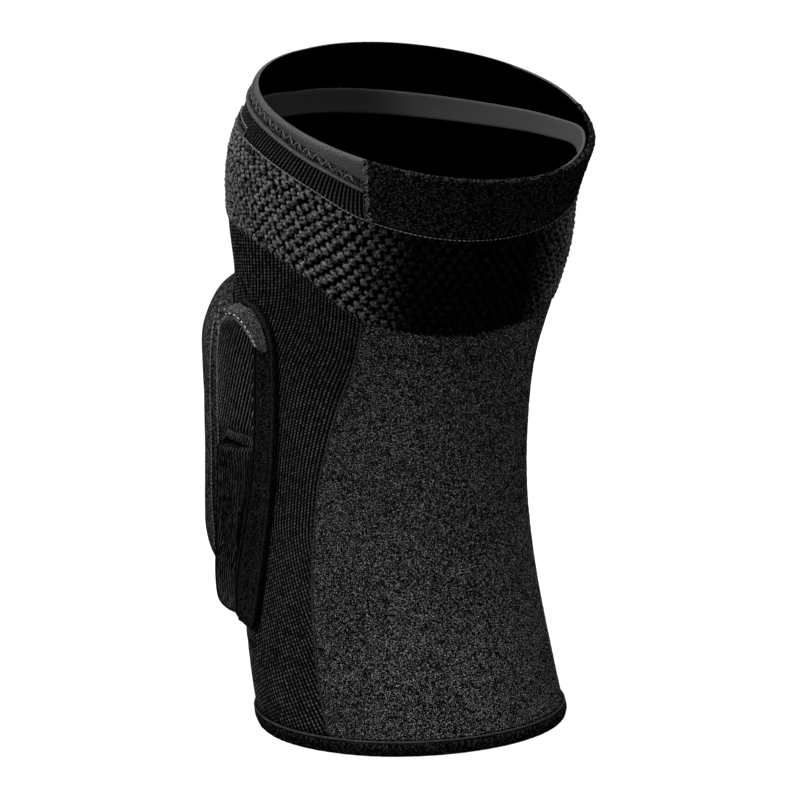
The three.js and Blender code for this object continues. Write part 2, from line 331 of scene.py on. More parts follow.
rib_stitches.links.new(rib_sum("ROUND", row), one_stitch.inputs[1])
tension = rib_stitches.nodes.new("ShaderNodeTexWhiteNoise")
rib_stitches.links.new(one_stitch.outputs[0], tension.inputs["Vector"])
drawn_in = rib_sum("MULTIPLY", tension.outputs["Value"], given.outputs["Uneven"])
stitch_crown = rib_sum("MULTIPLY", rib_sum("MULTIPLY", ridge, dash), rib_sum("SUBTRACT", 1, drawn_in))
rib_stitches.links.new(stitch_crown, result.inputs["Crown"])

# Yarn shade: the uneven depth of dyed yarn, broad over the cloth and fine along its fibres
yarn_shade, given, result = pattern_group(
    "yarn_shade", [("Place", "NodeSocketVector", None), ("Spread", "NodeSocketFloat", 0.5)], ["Shade"])
broad = noise_of(yarn_shade, given.outputs["Place"], 28, 3)
fibre = noise_of(yarn_shade, given.outputs["Place"], 2200)
mixed = sum_of(yarn_shade, "SUBTRACT", sum_of(yarn_shade, "ADD", broad, fibre), 1)
mixed = sum_of(yarn_shade, "MULTIPLY_ADD", mixed, given.outputs["Spread"], 1)
yarn_shade.links.new(mixed, result.inputs["Shade"])


def cloth_material(name, dark, light, roughness=0.95):
    """A cloth whose colour goes from dark to light with a crown value, to be joined by crown_of. On the
    knits this paints shade into the valleys and pits and light onto the crowns.
    """
    material = bpy.data.materials.new(name)
    material.use_nodes = True
    tree = material.node_tree
    skin = tree.nodes["Principled BSDF"]
    skin.inputs["Roughness"].default_value = roughness
    skin.inputs["Specular IOR Level"].default_value = 0
    # Painted shade and light: the ramp's dark end colours the valleys and pits, and its light end colours
    # the crowns.
    ramp = tree.nodes.new("ShaderNodeValToRGB")
    ramp.name = "depth"
    ramp.color_ramp.elements[0].color = (dark, dark, dark * 1.02, 1)
    ramp.color_ramp.elements[1].color = (light, light, light * 1.02, 1)
    tree.links.new(ramp.outputs["Color"], skin.inputs["Base Color"])
    place = tree.nodes.new("ShaderNodeTexCoord")
    place.name = "place"
    return material


def use_group(material, group, **values):
    node = material.node_tree.nodes.new("ShaderNodeGroup")
    node.node_tree = group
    for label, value in values.items():
        node.inputs[label].default_value = value
    return node


def crown_of(material, crown, height_mm, spread=0.7):
    """Joins a pattern's crown to the colour, shaded by the yarn, and to the relief of the cloth."""
    tree = material.node_tree
    shade = use_group(material, yarn_shade, Spread=spread)
    tree.links.new(tree.nodes["place"].outputs["Object"], shade.inputs["Place"])
    shaded = sum_of(tree, "MULTIPLY", crown, shade.outputs["Shade"])
    tree.links.new(shaded, tree.nodes["depth"].inputs["Fac"])
    relief = tree.nodes.new("ShaderNodeBump")
    relief.inputs["Distance"].default_value = height_mm * 0.001
    tree.links.new(crown, relief.inputs["Height"])
    tree.links.new(relief.outputs["Normal"], tree.nodes["Principled BSDF"].inputs["Normal"])


def rib_material(name, dark, light, height_mm, slack=0.3, dash=0.4, uneven=0.6, sharp=1.9, **finish):
    material = cloth_material(name, dark, light, **finish)
    tree = material.node_tree
    threads = tree.nodes.new("ShaderNodeUVMap")
    threads.uv_map = "threads"
    stitches = use_group(material, rib_stitches, Slack=slack, Dash=dash, Uneven=uneven, Sharp=sharp)
    tree.links.new(threads.outputs["UV"], stitches.inputs["Threads"])
    crown_of(material, stitches.outputs["Crown"], height_mm)
    return material


black_rib = rib_material("black_rib", 0.0005, 0.115, 0.35, slack=0.45, dash=0.45, uneven=0.75)
# The inside of the sleeve is coloured nearly black, painted shade where the light doesn't reach.
inner_knit_painted_shade = rib_material("inner_knit_painted_shade", 0.0002, 0.0006, 0.2)

SIDE_TOP = float(edge(BUBBLE, SIDE_SEAM[-1, 1]))


def side_seam(up):
    return along(SIDE_SEAM, 1, SIDE_SEAM[0, 0] + up * (SIDE_TOP - SIDE_SEAM[0, 0]))


def tube_height(angle, up):
    low = edge(HEM, angle) + HEM_HEIGHT
    return low + up * (edge(BUBBLE, angle) - low)


def rib_share(round_, up):
    """The share of the panel's half width at a rib, cut off where a leaning rib meets the side seam."""
    half = side_seam(up)
    lean = RIB_LEAN * np.clip(1 - up / LEAN_SHARE, 0, 1) ** 1.3
    share = 2 * round_ - 1
    reach = np.abs(share)
    drawn = (half - SEAM_MIDDLE) * smooth_step((reach - 0.2) / 0.5) + lean * reach ** 2
    drawn = drawn + RIB_SPREAD * smooth_step((up - 0.75) / 0.25) * bell((reach - 0.72) / 0.16)
    return share, np.sign(share) * np.minimum(SEAM_MIDDLE * reach + drawn, half), half


def folds(side, height):
    """How far the knit stands out in its folds."""
    out = np.zeros_like(side)
    for angle, middle, round_spread, up_spread, depth, pitch, round_slope, up_slope, start in FOLDS:
        off = side - angle
        above = height - middle
        wave = np.sin(2 * np.pi * (round_slope * off + up_slope * above + start) / pitch)
        out += depth * bell(off / round_spread) * bell(above / up_spread) * wave
    return out


def lay_front(round_, up):
    share, angle, half = rib_share(round_, up)
    height = tube_height(angle, up)
    side = np.abs(angle)
    out = RIB_RELIEF * (0.5 + 0.5 * np.cos(np.pi * RIBS * share))
    out -= SEAM_DIP * bell((half - side) * KNEE_DEGREE / SEAM_DIP_WIDTH)
    out += folds(side, height)
    ease = np.clip(np.minimum(up, 1 - up) / 0.1, 0, 1)
    out += SWAY * ease * np.sin(2 * np.pi * (angle / SWAY_ROUND + height / SWAY_UP))
    return on_leg(angle, height, out - KNIT_SINK)


def front_threads(round_, up):
    share, angle, _ = rib_share(round_, up)
    return share * RIBS / 2, tube_height(angle, up) / RIB_STITCH


front_shape = lay_cloth(RIBS * 4, 64, lay_front, front_threads)
bmesh.ops.remove_doubles(front_shape, verts=front_shape.verts, dist=2e-5)
bmesh.ops.dissolve_degenerate(front_shape, edges=front_shape.edges, dist=1e-5)
knit_front = make_piece(
    "ribbed_front", front_shape, [black_rib, inner_knit_painted_shade], ["knit_front"], KNIT_WALL)

# The back panel covers the hollow of the knee and the calf. It is a loop-pile knit, soft and speckled, its
# bright speckles painted glints on the loop tops. It is cut to the curve of the side seams. There its edge
# is rolled over a thread and sewn to the ribbed front with slanting overlock stitches of black yarn.
PILE_JITTER = 0.16
PILE_GRAIN = 1.1
BACK_WIDTH, BACK_LENGTH = 156, 188
BACK_THREADS = (120, 140)
EDGE_SINK, EDGE_WIDTH = 0.45, 0.9
SEAM_ROLL = 0.32
SEAM_LENGTH = 186
STITCH_PITCH = 2.3
SEAM_STITCH = (2.1, 0.4, 0.45)
SEAM_SLANT = (0.75, 0.66)

# Loop pile: small round loops of yarn, painted lighter where they stand in the light and painted darker, as
# shade, where some are sunk between the others
loop_pile, given, result = pattern_group(
    "loop_pile", [("Place", "NodeSocketVector", None), ("Loops", "NodeSocketFloat", 1100),
                  ("Depth", "NodeSocketFloat", 2.2)], ["Crown"])
loops = loop_pile.nodes.new("ShaderNodeTexVoronoi")
loop_pile.links.new(given.outputs["Place"], loops.inputs["Vector"])
loop_pile.links.new(given.outputs["Loops"], loops.inputs["Scale"])
tone = loop_pile.nodes.new("ShaderNodeSeparateColor")
loop_pile.links.new(loops.outputs["Color"], tone.inputs[0])
round_top = sum_of(loop_pile, "SUBTRACT", 1, sum_of(loop_pile, "MULTIPLY", loops.outputs["Distance"], 1.2))
sunk = sum_of(loop_pile, "POWER", tone.outputs[0], given.outputs["Depth"])
loop_pile.links.new(sum_of(loop_pile, "MULTIPLY", sum_of(loop_pile, "MAXIMUM", round_top, 0), sunk),
                    result.inputs["Crown"])


def pile_material(name, dark, light, loops_per_metre, height_mm, depth=2.2, **finish):
    material = cloth_material(name, dark, light, **finish)
    tree = material.node_tree
    pile = use_group(material, loop_pile, Loops=loops_per_metre, Depth=depth)
    tree.links.new(tree.nodes["place"].outputs["Object"], pile.inputs["Place"])
    crown_of(material, pile.outputs["Crown"], height_mm)
    return material


# The few loops near white at the top of its range are painted glints on the black pile.
pile_with_painted_glints = pile_material("pile_with_painted_glints", 0.0006, 0.98, 3700, 0.25, depth=8.5)
seam_yarn = pile_material("seam_yarn", 0.015, 0.12, 2600, 0.12, depth=1.0, roughness=0.8)
pile_dice = np.random.default_rng(41)


def lay_back(round_, up):
    start = side_seam(up) + 0.2
    angle = start + (360 - 2 * start) * round_
    height = tube_height(angle, up)
    inset = np.minimum(angle - start, 360 - start - angle) * KNEE_DEGREE
    nap = pile_dice.uniform(-PILE_JITTER, PILE_JITTER, len(round_))
    return on_leg(angle, height, nap - EDGE_SINK * bell(inset / EDGE_WIDTH))


def back_threads(round_, up):
    return BACK_THREADS[0] * round_, BACK_THREADS[1] * up


back_shape = lay_cloth(
    int(BACK_WIDTH / PILE_GRAIN), int(BACK_LENGTH / PILE_GRAIN), lay_back, back_threads)
back_panel = make_piece(
    "pile_back", back_shape, [pile_with_painted_glints, inner_knit_painted_shade], ["back_panel"], KNIT_WALL)


def leg_axes(angle, height, out):
    """Points on the leg with the directions round it, up it and out of it there."""
    point = on_leg(angle, height, out)
    round_leg = on_leg(angle + 0.2, height, out) - point
    up_leg = on_leg(angle, height + 0.2, out) - point
    round_leg /= np.linalg.norm(round_leg, axis=-1, keepdims=True)
    out_leg = np.cross(round_leg, up_leg)
    out_leg /= np.linalg.norm(out_leg, axis=-1, keepdims=True)
    return point, round_leg, np.cross(out_leg, round_leg), out_leg


def close_shape(shape):
    """Welds the edges that meet, fills the open ends and turns the faces outward."""
    bmesh.ops.remove_doubles(shape, verts=shape.verts, dist=1e-6)
    bmesh.ops.holes_fill(shape, edges=[e for e in shape.edges if e.is_boundary], sides=0)
    bmesh.ops.recalc_face_normals(shape, faces=shape.faces)


def roll_along(points, outward, radius_mm, sides=6, closed=False):
    """A thin roll of thread or piping that follows a line of points on the sleeve."""
    ahead = np.gradient(points, axis=0)
    if closed:
        ahead = np.roll(points, -1, axis=0) - np.roll(points, 1, axis=0)
        points, outward, ahead = (np.vstack([rows, rows[:1]]) for rows in (points, outward, ahead))
    ahead /= np.linalg.norm(ahead, axis=1, keepdims=True)
    beside = np.cross(ahead, outward)
    beside /= np.linalg.norm(beside, axis=1, keepdims=True)
    over = np.cross(beside, ahead)
    last = len(points) - 1

    def wrap(way, turn):
        index = np.rint(way * last).astype(int)
        bend = -2 * np.pi * turn[:, None]
        rim = np.cos(bend) * over[index] + np.sin(bend) * beside[index]
        return points[index] + radius_mm * 0.001 * rim

    def wound(way, turn):
        return turn * 4, length[np.rint(way * last).astype(int)]

    length = np.concatenate([[0], np.cumsum(np.linalg.norm(np.diff(points, axis=0), axis=1))]) * 1000
    roll = lay_cloth(last, sides, wrap, wound)
    close_shape(roll)
    return roll


def join_shapes(shapes):
    """Several shapes as one."""
    whole = bmesh.new()
    for shape in shapes:
        part = bpy.data.meshes.new("part")
        shape.to_mesh(part)
        shape.free()
        whole.from_mesh(part)
        bpy.data.meshes.remove(part)
    return whole


def grain_shape(round_steps):
    """A small rounded grain along x, for a stitch or a knot."""
    grain = bmesh.new()
    bmesh.ops.create_uvsphere(grain, u_segments=round_steps, v_segments=4, radius=0.5)
    bmesh.ops.rotate(grain, verts=grain.verts, matrix=Matrix.Rotation(math.pi / 2, 3, "Y"))
    return grain


def scatter(places, long_way, out_way, sizes_mm, round_steps=6):
    """Copies of a grain in one shape, each along its own direction and of its own size."""
    grain = grain_shape(round_steps)
    corners = np.array([vert.co for vert in grain.verts])
    faces = [[vert.index for vert in face.verts] for face in grain.faces]
    grain.free()
    cross_way = np.cross(out_way, long_way)
    cross_way /= np.linalg.norm(cross_way, axis=1, keepdims=True)
    sizes = np.broadcast_to(np.asarray(sizes_mm, dtype=float) * 0.001, (len(places), 3))
    points = places[:, None, :].repeat(len(corners), axis=1)
    for axis, way in enumerate((long_way, cross_way, out_way)):
        points = points + corners[None, :, axis, None] * sizes[:, None, axis, None] * way[:, None, :]
    mesh = bpy.data.meshes.new("grains")
    count = len(corners)
    mesh.from_pydata(points.reshape(-1, 3).tolist(), [], [
        [corner + count * k for corner in face] for k in range(len(places)) for face in faces])
    crest = mesh.attributes.new("crest", "FLOAT", "POINT")
    crest.data.foreach_set("value", np.tile(corners[:, 2] + 0.5, len(places)))
    shape = bmesh.new()
    shape.from_mesh(mesh)
    bpy.data.meshes.remove(mesh)
    return shape


seam_shapes = []
for side in (1, -1):
    up = np.linspace(0.004, 0.996, 120)
    seam_angle = side * (side_seam(up) + 0.35)
    centre, _, _, outward = leg_axes(seam_angle, tube_height(seam_angle, up), -0.05)
    seam_shapes.append(roll_along(centre, outward, SEAM_ROLL))
    up = np.arange(0.01, 0.99, STITCH_PITCH / SEAM_LENGTH)
    stitch_angle = side * (side_seam(up) - 0.1)
    centre, around, upward, outward = leg_axes(stitch_angle, tube_height(stitch_angle, up), 0.15)
    slant = around * side * SEAM_SLANT[0] + upward * SEAM_SLANT[1]
    seam_shapes.append(scatter(centre, slant, outward, SEAM_STITCH))
side_seams = make_piece("side_seam_stitches", join_shapes(seam_shapes), [seam_yarn])

# The thigh ring is a bubble knit: slanting rows of small puffed knots, each gathered from three loops, on
# a ground coloured nearly black, painted shade in the pits between the knots. The knots are charcoal, with
# painted shade on their lower sides and painted shade taking them nearly to black behind the knee. The ring
# is linked to the rib below with a saw-toothed row of stitches, and closed at the top by a fine corded
# seam.
KNOT_ROWS = 12
KNOTS_ROUND = 92
KNOT_SHIFT = 0.51
KNOT_START, KNOT_ROOM = 0.62, 0.25
KNOT_SINK = 0.25
# Loops of a knot: place round and up in mm, turn in degrees, size in mm
KNOT_LOOPS = (
    (0.0, 0.0, -38, (5.1, 3.0, 3.0)),
    (0.5, 0.85, 50, (2.3, 1.9, 2.8)),
    (-0.5, -0.8, 50, (2.2, 1.8, 2.8)))
# Where the painted shade behind the knee takes the knots to black: middle angle, start and full.
SHADE_MIDDLE, SHADE_FROM, SHADE_TO = (math.radians(angle) for angle in (160, 130, 161))
RING_MIDDLE = 0.006
RING_GIRTH = 415
RING_LAP = 0.015
RING_SINK = 0.5
TOOTH_PITCH = 2.75
TOOTH = (3.6, 1.1, 1.0)
TOOTH_SLANT = (0.62, -0.78)
SEAM_CORD = 0.2
CORD_STITCH = (1.3, 0.5, 0.6)
CORD_STITCH_ANGLE = 1.6


def smooth_ramp(tree, value, from_min, from_max, to_min, to_max):
    """A pattern's value taken smoothly from one range to another."""
    ramp = tree.nodes.new("ShaderNodeMapRange")
    ramp.interpolation_type = "SMOOTHSTEP"
    limits = {"From Min": from_min, "From Max": from_max, "To Min": to_min, "To Max": to_max}
    for label, limit in limits.items():
        ramp.inputs[label].default_value = limit
    tree.links.new(value, ramp.inputs["Value"])
    return ramp.outputs[0]


bubble_yarn = cloth_material("bubble_yarn", 0.0008, 0.265, roughness=0.85)
tree = bubble_yarn.node_tree
strand = use_group(bubble_yarn, loop_pile, Loops=850, Depth=0.25)
tree.links.new(tree.nodes["place"].outputs["Object"], strand.inputs["Place"])
where = tree.nodes.new("ShaderNodeSeparateXYZ")
tree.links.new(tree.nodes["place"].outputs["Object"], where.inputs[0])
# Painted shade behind the knee: the knots' colour fades nearly to black round the back.
ahead = sum_of(tree, "SUBTRACT", RING_MIDDLE, where.outputs[1])
from_front = sum_of(tree, "ARCTAN2", where.outputs[0], ahead)
from_shade_middle = sum_of(tree, "ABSOLUTE", sum_of(tree, "ADD", from_front, math.pi - SHADE_MIDDLE))
painted_shade_behind_knee = smooth_ramp(tree, from_shade_middle, SHADE_FROM, SHADE_TO, 1.0, 0.025)
# Painted shade on the knots: each loop is coloured dark below its crest.
crest = tree.nodes.new("ShaderNodeAttribute")
crest.attribute_name = "crest"
painted_crest_shade = smooth_ramp(tree, crest.outputs["Fac"], 0.55, 0.9, 0.08, 1.0)
strand_with_crest_shade = sum_of(tree, "MULTIPLY", strand.outputs["Crown"], painted_crest_shade)
crown_of(bubble_yarn, sum_of(tree, "MULTIPLY", strand_with_crest_shade, painted_shade_behind_knee), 0.15, spread=0.5)
# The ground is coloured nearly black, painted shade in the pits between the knots.
bubble_ground_painted_shade = pile_material("bubble_ground_painted_shade", 0.0004, 0.004, 1300, 0.3)
seam_cord_yarn = pile_material("seam_cord_yarn", 0.06, 0.26, 2600, 0.1, depth=0.8, roughness=0.7)


def ring_height(angle, up):
    return edge(BUBBLE, angle) + up * (edge(SEAM, angle) - edge(BUBBLE, angle))


def lay_ring(round_, up):
    height = ring_height(360 * round_, (1 + 2 * RING_LAP) * up - RING_LAP)
    return on_leg(360 * round_, height, -RING_SINK + 0 * up)


ring_shape = lay_cloth(150, 14, lay_ring, lambda round_, up: (round_ * 240, up * 30))
bmesh.ops.remove_doubles(ring_shape, verts=ring_shape.verts, dist=1e-6)
thigh_ring = make_piece(
    "bubble_ring", ring_shape, [bubble_ground_painted_shade, inner_knit_painted_shade], ["thigh_knit"], KNIT_WALL)

knot_dice = np.random.default_rng(7)
row, number = (grid.ravel() for grid in np.meshgrid(np.arange(KNOT_ROWS), np.arange(KNOTS_ROUND)))
knot_angle = 360 * (number + KNOT_SHIFT * row) / KNOTS_ROUND + knot_dice.normal(0, 0.18, row.size)
knot_up = (row + KNOT_START) / (KNOT_ROWS + KNOT_ROOM) + knot_dice.normal(0, 0.005, row.size)
centre, around, upward, outward = leg_axes(knot_angle, ring_height(knot_angle, knot_up), -KNOT_SINK)
knot_way = np.where(knot_angle % 360 < 180, 1.0, -1.0)[:, None]
knot_shapes = []
for across, above, lean, loop_size in KNOT_LOOPS:
    swing = knot_dice.normal(0, 0.12, (row.size, 2))
    aside = (across + swing[:, :1]) * knot_way * around
    place = centre + 0.001 * (aside + (above + swing[:, 1:]) * upward)
    twist = (math.radians(lean) + knot_dice.normal(0, 0.15, row.size))[:, None]
    loop_way = knot_way * around * np.cos(twist) + upward * np.sin(twist)
    loop_sizes = np.array(loop_size) * knot_dice.normal(1, 0.07, (row.size, 3))
    knot_shapes.append(scatter(place, loop_way, outward, loop_sizes, 8))
tooth_angle = np.arange(0, 360, 360 * TOOTH_PITCH / RING_GIRTH)
centre, around, upward, outward = leg_axes(tooth_angle, edge(BUBBLE, tooth_angle) + 0.2, 0.2)
tooth_way = around * TOOTH_SLANT[0] + upward * TOOTH_SLANT[1]
knot_shapes.append(scatter(centre, tooth_way, outward, TOOTH))
knots = make_piece("bubble_knots", join_shapes(knot_shapes), [bubble_yarn])

ring_angle = np.linspace(0, 360, 240, endpoint=False)
centre, _, _, outward = leg_axes(ring_angle, edge(SEAM, ring_angle), 0.4)
cord_shapes = [roll_along(centre, outward, SEAM_CORD, closed=True)]
dash_angle = np.arange(0, 360, CORD_STITCH_ANGLE)
centre, _, _, outward = leg_axes(dash_angle, edge(SEAM, dash_angle), 0.9)
dash_way = on_leg(dash_angle + 0.5, edge(SEAM, dash_angle + 0.5), 0.9) - centre
dash_way /= np.linalg.norm(dash_way, axis=1, keepdims=True)
cord_shapes.append(scatter(centre, dash_way, outward, CORD_STITCH))
seam_cord = make_piece("thigh_seam_cord", join_shapes(cord_shapes), [seam_cord_yarn])

# Above the seam a narrow strip of coarse rib runs round the front and sides, knitted with broad upright
# ribs, so that the rim can stretch. Its upper edge is tucked into the binding.
STRIP_RIBS = 148
STRIP_RELIEF = 0.6
STRIP_LEAN = 0.055
STRIP_STITCH = 1.5
STRIP_GAP, STRIP_SINK = 0.3, 0.4
TUCK = 1.2
BAND_END_LOW, BAND_END_RIM, STRIP_SHARE = 122.5, 114, 0.45
coarse_rib = rib_material("coarse_rib", 0.0005, 0.082, 0.45, slack=0.3, dash=0.25, uneven=0.5)


def band_end(up):
    return BAND_END_LOW + (BAND_END_RIM - BAND_END_LOW) * up


def strip_angle(round_, up):
    share = 2 * round_ - 1
    lean = STRIP_LEAN * up * np.sin(np.pi * share) * np.abs(share) ** 0.3
    return band_end(STRIP_SHARE * up) * (share + lean)


def lay_strip(round_, up):
    angle = strip_angle(round_, up)
    height = edge(SEAM, angle) + STRIP_GAP + up * (edge(BAND, angle) - edge(SEAM, angle) + TUCK)
    out = STRIP_RELIEF * (0.5 + 0.5 * np.cos(2 * np.pi * STRIP_RIBS * round_)) - STRIP_SINK
    return on_leg(angle, height, out)


def strip_threads(round_, up):
    angle = strip_angle(round_, up)
    return STRIP_RIBS * round_, up * (edge(BAND, angle) - edge(SEAM, angle)) / STRIP_STITCH


strip_shape = lay_cloth(STRIP_RIBS * 5, 6, lay_strip, strip_threads)
rib_strip = make_piece(
    "rim_rib_strip", strip_shape, [coarse_rib, inner_knit_painted_shade], ["rib_strip"], KNIT_WALL)

# The rim is bound with a smooth brushed elastic, folded over the edge and sewn down through all layers
# with one row of zigzag stitches. Its lower edge is a flat woven selvedge.
BAND_PROUD = 0.9
BAND_INSIDE = -2.3
BAND_GAP = 0.2
BAND_MEAN = 0.75
BAND_THREADS, BAND_TURN = 300, 26
# Shares of the way round a folded strip at the end of its face, of the fold and of its inside
FACE_END, FOLD_END, INSIDE_END = 0.45, 0.6, 0.95
SELVEDGE, SELVEDGE_DIP, SELVEDGE_UP = 0.45, 0.4, 1.5
SEWN_IN, SEWN_WIDTH = 0.4, 1.7
RIM_GIRTH = 432
ZIGZAG_END = 113
ZIGZAG_PITCH = 5.3
ZIGZAG_REACH = 1.5
ZIGZAG_UP = 3.9
ZIGZAG_STITCH = (3.9, 0.62, 0.6)
brushed_elastic = cloth_material("brushed_elastic", 0.0006, 0.112, roughness=0.85)
tree = brushed_elastic.node_tree
weave_way = tree.nodes.new("ShaderNodeUVMap")
weave_way.uv_map = "threads"
brushed = noise_of(tree, weave_way.outputs["UV"], 1.5, 6, 0.75)
blotch = noise_of(tree, weave_way.outputs["UV"], 0.75, 3)
turned_up = tree.nodes.new("ShaderNodeSeparateXYZ")
tree.links.new(weave_way.outputs["UV"], turned_up.inputs[0])
# The colour is darker in blotches along the row of zigzag stitches.
from_row = sum_of(tree, "ABSOLUTE", sum_of(tree, "SUBTRACT", turned_up.outputs[1], ZIGZAG_UP))
napped = smooth_ramp(tree, brushed, 0.25, 0.75, 0.2, 1.0)
beside_stitches = smooth_ramp(tree, from_row, 1.4, 3.0, 0.97, 0.12)
stitch_row_blotches = smooth_ramp(tree, blotch, 0.42, 0.68, 1.0, 0.0)
stitch_row_darkening = sum_of(tree, "SUBTRACT", 1, sum_of(tree, "MULTIPLY", beside_stitches, stitch_row_blotches))
crown_of(brushed_elastic, sum_of(tree, "MULTIPLY", napped, stitch_row_darkening), 0.3, spread=0.6)


def folded(turn, low, high, inner, outer):
    """Height and stand-out round a strip folded over an edge: up its face, over, and down inside."""
    bend = (outer - inner) / 2
    top = high - bend
    arc = np.clip((turn - FACE_END) / (FOLD_END - FACE_END), 0, 1) * np.pi
    height = np.where(turn < FACE_END, low + (top - low) * turn / FACE_END, top + bend * np.sin(arc))
    down = np.clip((turn - FOLD_END) / (INSIDE_END - FOLD_END), 0, 1)
    height = np.where(turn > FOLD_END, top - (top - low) * down, height)
    out = inner + bend + bend * np.cos(arc)
    closing = (turn - INSIDE_END) / (1 - INSIDE_END)
    out = np.where(turn > INSIDE_END, inner + (outer - inner) * closing, out)
    return height, out


def face_inside(shape, turned):
    """Gives the faces that are turned into the sleeve the piece's second material."""
    for face in shape.faces:
        middle = face.calc_center_median()
        inward = Vector((-middle.x, 0.012 - middle.y, 0)).normalized()
        if face.normal.dot(inward) > turned:
            face.material_index = 1


def lay_band(round_, turn):
    angle = band_end(BAND_MEAN) * (2 * round_ - 1)
    low = edge(BAND, angle) + BAND_GAP
    height, out = folded(turn, low, edge(RIM, angle), BAND_INSIDE, BAND_PROUD)
    share = np.clip((height - low) / (edge(RIM, angle) - low), 0, 1)
    end = band_end(STRIP_SHARE + (1 - STRIP_SHARE) * share)
    above = height - low
    relief = SELVEDGE * bell((above - SELVEDGE) / SELVEDGE)
    relief -= SELVEDGE_DIP * bell((above - SELVEDGE_UP) / SELVEDGE_DIP)
    relief -= SEWN_IN * bell((above - ZIGZAG_UP) / SEWN_WIDTH)
    return on_leg(end * (2 * round_ - 1), height, out + np.where(turn < FACE_END, relief, 0))


def band_threads(round_, turn):
    angle = band_end(BAND_MEAN) * (2 * round_ - 1)
    face_height = edge(RIM, angle) - edge(BAND, angle) - BAND_GAP
    inside = np.maximum(turn - FACE_END, 0) * BAND_TURN
    return round_ * BAND_THREADS, np.minimum(turn / FACE_END, 1) * face_height + inside


band_shape = lay_cloth(260, 60, lay_band, band_threads)
close_shape(band_shape)
face_inside(band_shape, 0.35)
top_band = make_piece(
    "rim_binding", band_shape, [brushed_elastic, inner_knit_painted_shade], ["top_band"])

zigzag_yarn = pile_material("zigzag_yarn", 0.05, 0.32, 2600, 0.1, depth=0.8, roughness=0.7)
zig_angle = np.arange(-ZIGZAG_END, ZIGZAG_END, 360 * ZIGZAG_PITCH / 2 / RIM_GIRTH)
zig_up = np.where(np.arange(zig_angle.size) % 2, 1.0, -1.0)[:, None]
middle = edge(BAND, zig_angle) + BAND_GAP + ZIGZAG_UP
centre, around, upward, outward = leg_axes(zig_angle, middle, BAND_PROUD - 0.2)
zig_way = around * (ZIGZAG_PITCH / 2) + upward * zig_up * ZIGZAG_REACH * 2
zig_way /= np.linalg.norm(zig_way, axis=1, keepdims=True)
zigzag_shape = scatter(centre, zig_way, outward, ZIGZAG_STITCH)
zigzag = make_piece("rim_zigzag", zigzag_shape, [zigzag_yarn])

# Behind the thigh the rim is a fleecy terry panel, which can give as the knee bends. It is turned over at
# the rim and lapped over the ends of the binding with a raw, slightly frayed edge.
FLEECE_PROUD, FLEECE_INSIDE = 0.9, -2.3
FLEECE_GAP = 0.2
FLEECE_GIRTH = 135
FLEECE_JITTER = 0.32
LIP, LIP_WIDTH = 0.5, 1.5
FRAY = 0.6
FRAY_TUFTS = 90
FRAY_TUFT = (1.6, 0.5, 0.5)
FRAY_OUT = 1.35
fleece = pile_material("fleece", 0.0008, 0.07, 1250, 0.7, depth=2.2)
fray_yarn = pile_material("fray_yarn", 0.03, 0.3, 2000, 0.2, depth=0.9)
fleece_dice = np.random.default_rng(19)


def lay_fleece(round_, turn):
    angle = 180 + (180 - band_end(0.5)) * (2 * round_ - 1)
    low = edge(SEAM, angle) + FLEECE_GAP
    height, out = folded(turn, low, edge(RIM, angle), FLEECE_INSIDE, FLEECE_PROUD)
    share = np.clip((height - low) / (edge(RIM, angle) - low), 0, 1)
    reach = 180 - band_end(share) + 0.5
    at_end = (round_ < 0.001) | (round_ > 0.999)
    frayed = np.where(at_end, FRAY * np.sin(height * 5.1) * np.sin(height * 2.3), 0)
    tufts = fleece_dice.uniform(-FLEECE_JITTER, FLEECE_JITTER, len(round_))
    tufts = np.where((turn < 0.002) | (turn > 0.94), 0, tufts)
    lip = LIP * bell(np.minimum(round_, 1 - round_) * FLEECE_GIRTH / LIP_WIDTH)
    out = out + tufts + np.where(turn < FOLD_END, lip, 0)
    return on_leg(180 + reach * (2 * round_ - 1) + frayed, height, out)


fleece_shape = lay_cloth(190, 64, lay_fleece, lambda round_, turn: (round_ * 150, turn * 60))
close_shape(fleece_shape)
face_inside(fleece_shape, 0.35)
top_back = make_piece(
    "fleece_back_rim", fleece_shape, [fleece, inner_knit_painted_shade], ["top_back_panel"])

fray_shapes = []
for side in (1, -1):
    share = fleece_dice.uniform(0.02, 0.93, FRAY_TUFTS)
    low = edge(SEAM, side * band_end(share))
    height = low + share * (edge(RIM, side * band_end(share)) - low)
    angle = side * (band_end(share) + fleece_dice.uniform(-0.4, 0.8, share.size))
    centre, around, upward, outward = leg_axes(angle, height, FRAY_OUT)
    tuft_turn = fleece_dice.normal(0, 0.7, share.size)[:, None]
    tuft_way = around * np.cos(tuft_turn) + upward * np.sin(tuft_turn)
    fray_shapes.append(scatter(centre, tuft_way, outward, FRAY_TUFT))
fray = make_piece("fleece_fray", join_shapes(fray_shapes), [fray_yarn])

# A flat strip of dark grey silicone is bonded to the inside a little below the rim, all the way round,
# so that the sleeve grips the thigh.
GRIP_HEIGHT = 9.5
GRIP_WALL = 1.2
GRIP_ROUND = 0.3
GRIP_FACE = -2.85
grip_silicone = cloth_material("grip_silicone", 0.055, 0.063, roughness=0.7)
tree = grip_silicone.node_tree
matt = noise_of(tree, tree.nodes["place"].outputs["Object"], 900)
crown_of(grip_silicone, matt, 0.02, spread=0.2)


